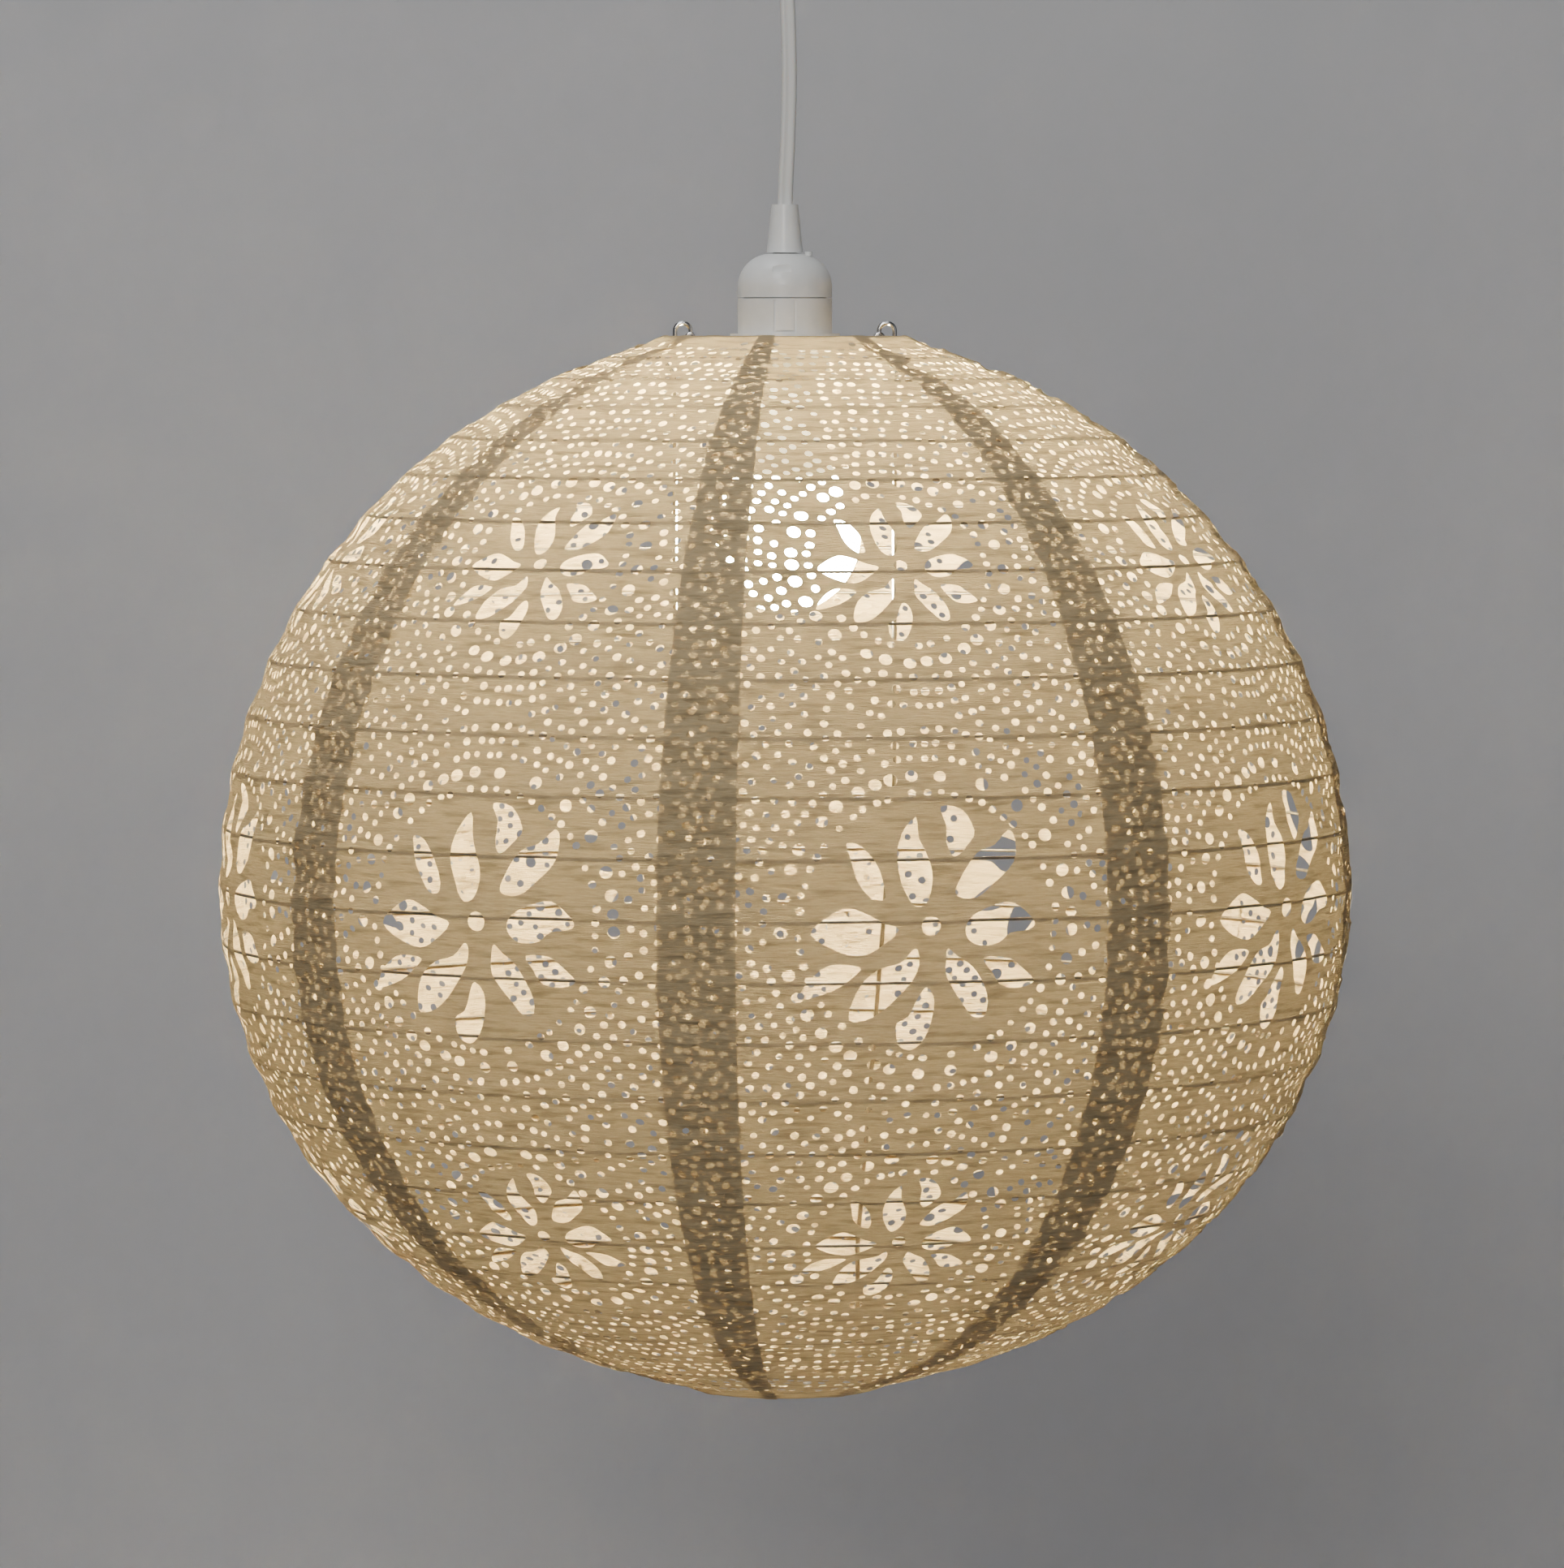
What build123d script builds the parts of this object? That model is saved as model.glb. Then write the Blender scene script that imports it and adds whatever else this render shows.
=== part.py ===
"""Pierced paper globe pendant: a ceiling cup, twin flex, lamp holder and a paper cover on wire hoops.

Millimetres, +Z up. The origin is on the ceiling, in the middle of the bracket, and the lamp hangs
down from it. X runs to the right along the two legs of the wire expander, and Y to the back.
"""
from build123d import *
import os
from math import acos, cos, degrees, radians, sin, sqrt, tan

os.makedirs("parts", exist_ok=True)

# ------------------------------------------------------------------ driving dimensions
running_gap = 0.06          # radial clearance of parts that turn or slide in each other
seat_gap = 0.3              # clearance of soft or curved pieces that only lie against each other
slip_gap = 0.15             # clearance of fixed pieces that are pushed or screwed together

# Ceiling cup and what is in it
cup_r = 48.0                # rim on the ceiling
cup_floor_r = 40.0
cup_h = 60.0
cup_wall = 2.0
cup_corner_r = 12.0
strap_l, strap_w, strap_t = 86.0, 18.0, 2.0
ceiling_hole_spacing = 72.0
ceiling_hole_r = 2.6
tab_w, tab_h, tab_t = 22.0, 36.0, 1.5
clamp_l, clamp_h, clamp_t = 24.0, 8.0, 4.0
clamp_screw_r = 1.5
clamp_screw_spacing = 16.0
block_l, block_w, block_h = 16.0, 16.0, 16.0
block_offset = 13.0         # tab centre to the near side of the terminal block
wire_bore_r, pole_screw_r = 1.8, 1.3

# Gland under the cup, with the ball bush that lets the flex swing
gland_neck_r = 8.0
gland_flange_r, gland_flange_t = 12.0, 3.0
gland_body_r, gland_mouth_r = 9.5, 8.6
gland_l = 16.5              # below the cup's floor
gland_lip = 1.5
nut_across, nut_t = 24.0, 5.0
grub_r = 2.0
ball_r = 6.5
ball_half_h = 3.0
ball_lift = 0.6             # ball above the lip, so that it can rock
swing_deg = 10.0

# Twin flex, a flat cord of two cores side by side
cord_w, cord_t = 6.4, 3.2
cord_free = 109.5           # gland's mouth to the cord grip

# Lamp holder for an E27 lamp
grip_top_r, grip_foot_r, grip_l = 5.6, 7.75, 20.4
spigot_r, spigot_l = 5.0, 4.5
holder_r = 20.0
holder_wall = 2.2
cap_l, cap_dome_r = 18.5, 14.1
nub_x, nub_y, nub_r = 10.0, -2.6, 1.6
window_w, window_h = 8.0, 3.0
split_line = 0.4            # gap between cap and skirt that shows as a fine line
skirt_l = 14.9
flange_r, flange_t = 23.25, 1.7
nose_r, nose_l = 19.0, 14.0  # threaded nose under the flange
tongue_w, groove_w, groove_depth = 8.7, 0.9, 1.2
core_r, core_t = 15.6, 12.0
shell_bore_r, shell_wall, shell_l = 13.26, 0.6, 22.0
contact_r, contact_l = 2.9, 3.6

# Shade ring, screwed up the nose against the expander
shade_ring_r, shade_ring_t = 31.0, 4.0

# E27 lamp
bulb_r, bulb_l = 32.0, 122.0
bulb_cap_l = 24.0
bulb_neck_r = 14.2
bulb_cone_deg = 30.0        # where the round end turns into the cone
glass_t = 0.8
tip_r, tip_t = 4.6, 1.4
insulator_r, insulator_t = 9.0, 3.2

# Wire expander that stretches the cover
frame_wire_r = 0.75
leg_wire_r = 1.0
frame_ring_r = 21.5
arm_side = 3.2              # arms run this far in front of the legs' plane
pivot_x, pivot_rise = 39.9, 1.0
hook_w, hook_h = 6.6, 6.2
notch_out = 7.0             # the leg's bulge that the top ring sits on
leg_waist_x = 31.0          # legs lean in towards the bottom ring
foot_out = 9.0

# Cover: rings, hoops and eight paper gores
cover_r = 241.0
cover_rise = 233.4          # widest place up to the top ring
cover_drop = 211.3          # widest place down to the bottom ring
cover_t = 1.0
top_ring_r, bottom_ring_r, ring_wire_r = 51.0, 38.0, 1.1
top_ring_drop = 0.7         # top ring below the lamp holder's flange
hoop_wire_r = 0.6
hoop_count = 25
gore_count = 8
first_gore_deg = -76.0      # middle of the gore that faces front, a little to the right

# ------------------------------------------------------------------ levels, worked out
floor_z = -cup_h
gland_mouth_z = floor_z - gland_l
ball_z = gland_mouth_z + gland_lip + ball_half_h + ball_lift
ball_cavity_r = ball_r + running_gap
cord_top_z = ball_z + ball_half_h + 0.4
tail_low_z = ball_z + cord_w / 2 * sin(radians(swing_deg)) + ball_half_h + 0.4 + seat_gap
grip_top_z = gland_mouth_z - cord_free
grip_foot_z = grip_top_z - grip_l
cap_top_z = grip_foot_z - split_line
cap_low_z = cap_top_z - cap_l
skirt_top_z = cap_low_z - split_line
flange_top_z = skirt_top_z - skirt_l
flange_low_z = flange_top_z - flange_t
nose_low_z = flange_low_z - nose_l
frame_z = flange_low_z - seat_gap - frame_wire_r
shade_ring_top_z = frame_z - frame_wire_r - seat_gap
core_top_z = cap_low_z + 4.5
core_low_z = core_top_z - core_t
tip_z = core_low_z - contact_l - slip_gap
top_ring_z = flange_low_z - top_ring_drop
widest_z = top_ring_z - cover_rise
bottom_ring_z = widest_z - cover_drop


def finish(builder, label):
    """Name a finished piece and write its file."""
    builder.part.label = label
    export_step(builder.part, "parts/" + label + ".step")


def ring(major_r, wire_r, level, label):
    """A closed ring of round wire, lying flat at a level."""
    with BuildPart() as wire_ring:
        with Locations((0, 0, level)):
            Torus(major_r, wire_r)
    finish(wire_ring, label)


# ------------------------------------------------------------------ ceiling bracket
# A steel strap that two screws hold to the ceiling, with a tab folded down for the cord clamp.
tab_y = cord_t / 2 + slip_gap
clamp_z = -strap_t - tab_h + clamp_h / 2 + 2.0
with BuildPart() as bracket:
    with BuildSketch(Plane.XY.offset(-strap_t)):
        SlotOverall(strap_l, strap_w)
    extrude(amount=strap_t)
    with BuildSketch(Plane.XZ.offset(-tab_y)):
        with Locations((0, -strap_t / 2)):
            Rectangle(tab_w, strap_t / 2 + tab_h, align=(Align.CENTER, Align.MAX))
    extrude(amount=-tab_t)
    with BuildSketch(Plane.XY):
        with GridLocations(ceiling_hole_spacing, 0, 2, 1):
            Circle(ceiling_hole_r)
    extrude(amount=-strap_t, mode=Mode.SUBTRACT)
    with BuildSketch(Plane.XZ):
        with Locations((0, clamp_z)):
            with GridLocations(clamp_screw_spacing, 0, 2, 1):
                Circle(clamp_screw_r + running_gap)
    extrude(amount=-tab_y - tab_t, mode=Mode.SUBTRACT)
finish(bracket, "ceiling_bracket")

# The clamp's bar presses the cord against the tab.
with BuildPart() as clamp_bar:
    with BuildSketch(Plane.XZ.offset(tab_y)):
        with Locations((0, clamp_z)):
            RectangleRounded(clamp_l, clamp_h, 1.5)
            with GridLocations(clamp_screw_spacing, 0, 2, 1):
                Circle(clamp_screw_r + running_gap, mode=Mode.SUBTRACT)
    extrude(amount=clamp_t)
finish(clamp_bar, "clamp_bar")

with BuildPart() as clamp_screws:
    for side in (-1, 1):
        with BuildSketch(Plane.XZ.offset(tab_y + clamp_t)):
            with Locations((side * clamp_screw_spacing / 2, clamp_z)):
                Circle(clamp_screw_r)
        extrude(amount=-2 * tab_y - clamp_t - tab_t - 2.0)
        with BuildSketch(Plane.XZ.offset(tab_y + clamp_t)):
            with Locations((side * clamp_screw_spacing / 2, clamp_z)):
                Circle(2 * clamp_screw_r)
        extrude(amount=1.8)
        with BuildSketch(Plane.XZ.offset(tab_y + clamp_t + 1.8)):
            with Locations((side * clamp_screw_spacing / 2, clamp_z)):
                Rectangle(4 * clamp_screw_r, 0.8)
        extrude(amount=-0.9, mode=Mode.SUBTRACT)
finish(clamp_screws, "clamp_screws")

# Two-pole terminal block, hung under the strap.
with BuildPart() as terminal_block:
    with BuildSketch(Plane.XY.offset(-strap_t)):
        with Locations((block_offset, 0)):
            RectangleRounded(block_l, block_w, 1.0, align=(Align.MIN, Align.CENTER))
    extrude(amount=-block_h)
    with BuildSketch(Plane.YZ.offset(block_offset)):
        with Locations((0, -strap_t - block_h / 2)):
            with GridLocations(block_w / 2, 0, 2, 1):
                Circle(wire_bore_r)
    extrude(amount=block_l, mode=Mode.SUBTRACT)
    with BuildSketch(Plane.XY.offset(-strap_t - block_h)):
        with Locations((block_offset + block_l / 2, 0)):
            with GridLocations(block_l / 2, block_w / 2, 2, 2):
                Circle(pole_screw_r)
    extrude(amount=block_h / 2, mode=Mode.SUBTRACT)
finish(terminal_block, "terminal_block")

# ------------------------------------------------------------------ ceiling cup
# A moulded cup that hides the terminals, its rim on the ceiling and the gland in its floor.
with BuildPart() as cup:
    with BuildSketch(Plane.XZ):
        with BuildLine():
            Polyline((0, 0), (cup_r, 0), (cup_floor_r, floor_z), (0, floor_z), close=True)
        make_face()
        corner = vertices().group_by(Axis.Y)[0].sort_by(Axis.X)[-1]
        fillet(corner, cup_corner_r)
    revolve(axis=Axis.Z)
    with BuildSketch(Plane.XZ):
        with BuildLine():
            Polyline(
                (0, 0),
                (cup_r - cup_wall, 0),
                (cup_floor_r - cup_wall, floor_z + cup_wall),
                (0, floor_z + cup_wall),
                close=True,
            )
        make_face()
        corner = vertices().group_by(Axis.Y)[0].sort_by(Axis.X)[-1]
        fillet(corner, cup_corner_r - cup_wall)
    revolve(axis=Axis.Z, mode=Mode.SUBTRACT)
    with BuildSketch(Plane.XY.offset(floor_z)):
        Circle(gland_neck_r + slip_gap)
    extrude(amount=cup_wall, mode=Mode.SUBTRACT)
finish(cup, "ceiling_cup")

# ------------------------------------------------------------------ gland
# Its threaded neck comes up through the cup's floor into a nut. The cavity near the mouth is the
# seat of the ball bush, and the lip below keeps the ball in.
neck_top_z = floor_z + cup_wall + nut_t + 1.0
cavity_low_z = gland_mouth_z + gland_lip
cavity_top_z = ball_z + ball_half_h + 2 * ball_lift + seat_gap
grub_z = floor_z - gland_flange_t - grub_r
tail_bore_r = cord_w / 2 + 1.6
with BuildPart() as gland:
    with BuildSketch(Plane.XZ):
        with BuildLine():
            Polyline(
                (0, neck_top_z),
                (gland_neck_r, neck_top_z),
                (gland_neck_r, floor_z),
                (gland_flange_r, floor_z),
                (gland_flange_r, floor_z - gland_flange_t),
                (gland_body_r, floor_z - gland_flange_t),
                (gland_mouth_r, gland_mouth_z),
                (0, gland_mouth_z),
                close=True,
            )
        make_face()
        with BuildLine():
            Polyline(
                (0, neck_top_z),
                (tail_bore_r, neck_top_z),
                (tail_bore_r, cavity_top_z),
                (ball_cavity_r, cavity_top_z),
                (ball_cavity_r, cavity_low_z),
                (ball_r - 0.9, cavity_low_z),
                (ball_r - 0.9, gland_mouth_z),
                (0, gland_mouth_z),
                close=True,
            )
        make_face(mode=Mode.SUBTRACT)
    revolve(axis=Axis.Z)
    with BuildSketch(Plane.YZ.offset(tail_bore_r - 1)):
        with Locations((0, grub_z)):
            Circle(grub_r)
    extrude(amount=gland_body_r, mode=Mode.SUBTRACT)
finish(gland, "cord_gland")

with BuildPart() as gland_nut:
    with BuildSketch(Plane.XY.offset(floor_z + cup_wall)):
        RegularPolygon(nut_across / 2, 6, major_radius=False)
        Circle(gland_neck_r + running_gap, mode=Mode.SUBTRACT)
    extrude(amount=nut_t)
    chamfer(faces().sort_by(Axis.Z)[-1].outer_wire().edges(), 0.8)
finish(gland_nut, "gland_nut")

# Nylon grub screw that grips the fixed end of the flex.
grub_tip_x = cord_w / 2 + 0.1
with BuildPart() as gland_screw:
    with BuildSketch(Plane.YZ.offset(grub_tip_x)):
        with Locations((0, grub_z)):
            Circle(grub_r - running_gap)
    extrude(amount=gland_body_r + 1.0 - grub_tip_x)
    with BuildSketch(Plane.YZ.offset(gland_body_r + 1.0)):
        with Locations((0, grub_z)):
            Rectangle(0.7, 3 * grub_r)
    extrude(amount=-0.9, mode=Mode.SUBTRACT)
finish(gland_screw, "gland_screw")

# Fixed end of the flex, from the gland up through the clamp.
with BuildPart() as cord_tail:
    with BuildSketch(Plane.XY.offset(tail_low_z)):
        SlotOverall(cord_w, cord_t)
    extrude(amount=clamp_z + clamp_h / 2 + 4.0 - tail_low_z)
finish(cord_tail, "cord_tail")

# ------------------------------------------------------------------ ball bush
# A rubber ball with a slot for the flex. It rocks front and back in the gland, and the flex rocks
# left and right in its slot.
bush_slot_w = cord_w + 2 * (ball_half_h * tan(radians(swing_deg)) + seat_gap)
with BuildPart() as bush:
    with BuildSketch(Plane.XZ):
        with BuildLine():
            half_angle = degrees(acos(sqrt(ball_r**2 - ball_half_h**2) / ball_r))
            rim = CenterArc((0, ball_z), ball_r, -half_angle, 2 * half_angle)
            Polyline(rim @ 1, (0, ball_z + ball_half_h), (0, ball_z - ball_half_h), rim @ 0)
        make_face()
    revolve(axis=Axis.Z)
    with BuildSketch(Plane.XY.offset(ball_z - ball_half_h)):
        SlotOverall(bush_slot_w, cord_t + 2 * running_gap)
    extrude(amount=2 * ball_half_h, mode=Mode.SUBTRACT)
finish(bush, "cord_bush")

# ------------------------------------------------------------------ hanging flex
# Straight through the grip and the bush, and a lazy bow of two millimetres between them.
cord_points = [
    (0.0, 0.0, -203.0),
    (0.0, 0.0, -183.0),
    (1.1, 0.0, -163.0),
    (2.0, 0.0, -134.0),
    (1.4, 0.0, -106.0),
    (0.0, 0.0, -85.0),
    (0.0, 0.0, cord_top_z),
]


def arc_radii(points):
    """Radius of each corner's arc: 0.45 of the shorter run over the tangent of half the turn."""
    radii = []
    for before, here, after in zip(points, points[1:], points[2:]):
        into, out = Vector(here) - Vector(before), Vector(after) - Vector(here)
        half_turn = radians(into.get_angle(out)) / 2
        radii.append(0.45 * min(into.length, out.length) / tan(half_turn))
    return radii


cord_radii = arc_radii(cord_points)
with BuildPart() as cord:
    with BuildLine() as cord_line:
        FilletPolyline(*cord_points, radius=cord_radii)
    with BuildSketch(Plane(origin=cord_points[0], x_dir=(1, 0, 0), z_dir=(0, 0, 1))):
        SlotOverall(cord_w, cord_t)
    sweep()
finish(cord, "cord")
cord_section = (cord_w - cord_t) * cord_t + 3.141593 * cord_t**2 / 4
cord_length = cord_line.wires()[0].length
print("cord radii", [round(r) for r in cord_radii], "length", round(cord_length, 2))
print("cord volume", round(cord.part.volume, 1), "section x length", round(cord_section * cord_length, 1))

# ------------------------------------------------------------------ lamp holder
# Tapered cord grip, screwed into the top of the cap.
with BuildPart() as grip:
    with BuildSketch(Plane.XZ):
        with BuildLine():
            Polyline(
                (0, grip_top_z),
                (grip_top_r, grip_top_z),
                (grip_foot_r, grip_foot_z),
                (spigot_r, grip_foot_z),
                (spigot_r, grip_foot_z - split_line - holder_wall - spigot_l),
                (0, grip_foot_z - split_line - holder_wall - spigot_l),
                close=True,
            )
        make_face()
    revolve(axis=Axis.Z)
    with BuildSketch(Plane.XY.offset(grip_top_z)):
        SlotOverall(cord_w + 2 * slip_gap, cord_t + 2 * slip_gap)
    extrude(amount=-grip_l - split_line - holder_wall - spigot_l, mode=Mode.SUBTRACT)
    fillet(edges().filter_by(GeomType.CIRCLE).sort_by(Axis.Z)[-1], 0.5)
finish(grip, "cord_grip")

# Domed cap of the holder, with a small window over its catch and a nub beside it.
dome_z = cap_top_z - cap_dome_r
with BuildPart() as cap:
    with BuildSketch(Plane.XZ):
        for inset, mode in ((0.0, Mode.ADD), (holder_wall, Mode.SUBTRACT)):
            with BuildLine():
                dome = CenterArc((holder_r - cap_dome_r, dome_z), cap_dome_r - inset, 0, 90)
                crown = cap_top_z - inset
                Polyline(dome @ 1, (0, crown), (0, cap_low_z), (holder_r - inset, cap_low_z), dome @ 0)
            make_face(mode=mode)
    revolve(axis=Axis.Z)
    with BuildSketch(Plane.XY.offset(cap_top_z)):
        Circle(spigot_r + running_gap)
    extrude(amount=-holder_wall, mode=Mode.SUBTRACT)
    with BuildSketch(Plane.XZ.offset(holder_r - 3.6)):
        with Locations((-1.2, cap_top_z - 6.2)):
            Rectangle(window_w, window_h)
    extrude(amount=6.0, mode=Mode.SUBTRACT)
    with BuildSketch(Plane.XY.offset(cap_top_z - 1.0)):
        with Locations((nub_x, nub_y)):
            Circle(nub_r)
    extrude(amount=1.8)
finish(cap, "holder_cap")

# Skirt of the holder: a neck inside the cap, a flange for the shade, and the threaded nose. Two
# grooves leave the tongue that locks cap and skirt together.
neck_r = holder_r - holder_wall - slip_gap
skirt_bore_r = core_r + slip_gap
with BuildPart() as skirt:
    with BuildSketch(Plane.XZ):
        with BuildLine():
            Polyline(
                (skirt_bore_r, cap_low_z + 5.0),
                (neck_r, cap_low_z + 5.0),
                (neck_r, skirt_top_z),
                (holder_r, skirt_top_z),
                (holder_r, flange_top_z),
                (flange_r, flange_top_z),
                (flange_r, flange_low_z),
                (nose_r, flange_low_z),
                (nose_r, nose_low_z),
                (skirt_bore_r, nose_low_z),
                close=True,
            )
        make_face()
    revolve(axis=Axis.Z)
    with BuildSketch(Plane.XZ.offset(holder_r - groove_depth)):
        with Locations((0, skirt_top_z - skirt_l / 2)):
            with GridLocations(tongue_w, 0, 2, 1):
                Rectangle(groove_w, skirt_l - 1.2)
    extrude(amount=groove_depth + 1.0, mode=Mode.SUBTRACT)
    with BuildSketch(Plane.XZ.offset(holder_r - groove_depth)):
        with Locations((0, flange_top_z + 1.0)):
            Rectangle(tongue_w, groove_w)
    extrude(amount=groove_depth + 1.0, mode=Mode.SUBTRACT)
finish(skirt, "holder_skirt")

# Insulating core, and the brass thread shell and spring contact fixed under it.
with BuildPart() as core:
    with BuildSketch(Plane.XY.offset(core_low_z)):
        Circle(core_r)
        with GridLocations(16.0, 0, 2, 1):
            Circle(1.8, mode=Mode.SUBTRACT)
    extrude(amount=core_t)
    with BuildSketch(Plane.XY.offset(core_top_z)):
        Rectangle(3.0, 2 * core_r)
    extrude(amount=-2.0, mode=Mode.SUBTRACT)
finish(core, "socket_core")

with BuildPart() as thread_shell:
    with BuildSketch(Plane.XY.offset(core_low_z)):
        Circle(shell_bore_r + shell_wall)
        Circle(shell_bore_r, mode=Mode.SUBTRACT)
    extrude(amount=-shell_l)
finish(thread_shell, "thread_shell")

with BuildPart() as contact:
    with BuildSketch(Plane.XY.offset(core_low_z)):
        Circle(contact_r)
    extrude(amount=-contact_l)
    fillet(edges().sort_by(Axis.Z)[0], 0.8)
finish(contact, "centre_contact")

# ------------------------------------------------------------------ shade ring
# A flat ring with a knurled rim, screwed up the nose until it clamps the expander's ring.
with BuildPart() as shade_ring:
    with BuildSketch(Plane.XY.offset(shade_ring_top_z)):
        Circle(shade_ring_r)
        Circle(nose_r + running_gap, mode=Mode.SUBTRACT)
    extrude(amount=-shade_ring_t)
    chamfer(edges().filter_by(GeomType.CIRCLE).filter_by(lambda e: e.radius > nose_r + 1), 0.6)
finish(shade_ring, "shade_ring")

# ------------------------------------------------------------------ lamp
insulator_z = tip_z - tip_t
screw_z = insulator_z - insulator_t
screw_low_z = screw_z - bulb_cap_l
bulb_low_z = tip_z - bulb_l
ball_centre_z = bulb_low_z + bulb_r
glass_top_z = screw_low_z + 1.5


def glass_outline(inset):
    """Half outline of the lamp's envelope, this far inside the outer one; returns its neck's foot."""
    r, neck = bulb_r - inset, bulb_neck_r - inset
    round_end = CenterArc((0, ball_centre_z), r, -90, 90 + bulb_cone_deg)
    cone_run = (r * cos(radians(bulb_cone_deg)) - neck) / sin(radians(bulb_cone_deg))
    shoulder = (neck, (round_end @ 1).Y + cone_run * cos(radians(bulb_cone_deg)))
    Polyline(round_end @ 1, shoulder, (neck, glass_top_z - inset), (0, glass_top_z - inset), round_end @ 0)
    return Vector(shoulder)


with BuildPart() as bulb_glass:
    with BuildSketch(Plane.XZ):
        with BuildLine():
            shoulder = glass_outline(0.0)
        make_face()
        fillet(vertices().sort_by_distance(shoulder)[0], bulb_r)
    revolve(axis=Axis.Z)
    with BuildSketch(Plane.XZ):
        with BuildLine():
            shoulder = glass_outline(glass_t)
        make_face()
        fillet(vertices().sort_by_distance(shoulder)[0], bulb_r)
    revolve(axis=Axis.Z, mode=Mode.SUBTRACT)
finish(bulb_glass, "bulb_glass")

bulb_screw_r = shell_bore_r - running_gap
with BuildPart() as bulb_cap:
    with BuildSketch(Plane.XZ):
        with BuildLine():
            Polyline(
                (0, screw_z),
                (insulator_r, screw_z),
                (bulb_screw_r, screw_z - 3.0),
                (bulb_screw_r, screw_low_z + 3.0),
                (bulb_neck_r + 0.5, screw_low_z),
                (bulb_neck_r + 0.5, screw_low_z - 1.5),
                (bulb_neck_r + 0.05, screw_low_z - 1.5),
                (bulb_neck_r + 0.05, glass_top_z),
                (0, glass_top_z),
                close=True,
            )
        make_face()
    revolve(axis=Axis.Z)
finish(bulb_cap, "bulb_cap")

with BuildPart() as bulb_insulator:
    with BuildSketch(Plane.XZ):
        with BuildLine():
            Polyline(
                (0, insulator_z),
                (tip_r, insulator_z),
                (insulator_r, screw_z),
                (0, screw_z),
                close=True,
            )
        make_face()
    revolve(axis=Axis.Z)
finish(bulb_insulator, "bulb_insulator")

with BuildPart() as bulb_tip:
    with BuildSketch(Plane.XY.offset(insulator_z)):
        Circle(tip_r)
    extrude(amount=tip_t)
    fillet(edges().sort_by(Axis.Z)[-1], 0.6)
finish(bulb_tip, "bulb_tip")

# ------------------------------------------------------------------ wire expander
# The clamped ring has an arm to each side, and each arm ends in an eye that a leg is hooked in.
pivot_z = frame_z + pivot_rise
eye_r = leg_wire_r + running_gap + frame_wire_r
arm_start = Vector(sqrt(frame_ring_r**2 - arm_side**2), -arm_side, frame_z)
arm_end = Vector(pivot_x - eye_r, -arm_side, pivot_z)
with BuildPart() as expander_frame:
    with Locations((0, 0, frame_z)):
        Torus(frame_ring_r, frame_wire_r)
    with BuildSketch(Plane(origin=arm_start, z_dir=arm_end - arm_start)):
        Circle(frame_wire_r)
    arm = extrude(amount=(arm_end - arm_start).length)
    with Locations(Location((pivot_x, -arm_side, pivot_z), (90, 0, 0))):
        eye = Torus(eye_r, frame_wire_r)
    mirror([arm, eye], about=Plane.YZ)
finish(expander_frame, "expander_frame")

# A leg starts as the pin in the eye, climbs over in a hook, bulges out under the top ring, runs
# down inside the cover, and ends in a foot that bears on the bottom ring.
leg_x = pivot_x + hook_w
crown_z = pivot_z + hook_h
top_clear = ring_wire_r + leg_wire_r + seat_gap
notch_slope = sqrt(0.5)
notch_z = top_ring_z + (top_ring_r - leg_x) - top_clear / notch_slope
foot_clear = ring_wire_r + leg_wire_r + 2 * seat_gap
foot_touch = foot_clear * notch_slope
foot_x = bottom_ring_r + foot_touch - foot_clear
foot_top_x = bottom_ring_r + 2.2
foot_top_z = bottom_ring_z + foot_touch + (foot_top_x - bottom_ring_r + foot_touch)
foot_low_x = bottom_ring_r - foot_clear - 1.1
foot_low_z = bottom_ring_z + foot_touch - (bottom_ring_r - foot_touch - foot_low_x)
leg_points = [
    (pivot_x, -arm_side - frame_wire_r - 1.2, pivot_z),
    (pivot_x, 0, pivot_z),
    (pivot_x, 0, crown_z),
    (leg_x, 0, crown_z),
    (leg_x, 0, notch_z),
    (leg_x + notch_out, 0, notch_z - notch_out),
    (leg_x, 0, notch_z - notch_out - 9.0),
    (leg_x, 0, widest_z + 45.0),
    (leg_waist_x, 0, bottom_ring_z + 60.0),
    (leg_waist_x, 0, foot_top_z + foot_out + 6.0),
    (foot_top_x, 0, foot_top_z),
    (foot_low_x, 0, foot_low_z),
    (foot_low_x + 1.4, 0, foot_low_z - 2.4),
]
leg_radii = [1.6, 3.2, 3.2, 2.0, 2.2, 6.0, 120.0, 60.0, 12.0, 2.0, 1.2]
with BuildPart() as leg_right:
    with BuildLine():
        FilletPolyline(*leg_points, radius=leg_radii)
    with BuildSketch(Plane(origin=leg_points[0], z_dir=(0, 1, 0))):
        Circle(leg_wire_r)
    sweep()
finish(leg_right, "leg_right")

with BuildPart() as leg_left:
    mirror(leg_right.part, about=Plane.YZ)
finish(leg_left, "leg_left")

# ------------------------------------------------------------------ cover
# Its outline is two quarter ellipses that meet at the widest place and run to the two rings.
ring(top_ring_r, ring_wire_r, top_ring_z, "top_ring")
ring(bottom_ring_r, ring_wire_r, bottom_ring_z, "bottom_ring")

upper_axis = cover_rise / sqrt(1 - (top_ring_r / cover_r) ** 2)
lower_axis = cover_drop / sqrt(1 - (bottom_ring_r / cover_r) ** 2)


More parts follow.
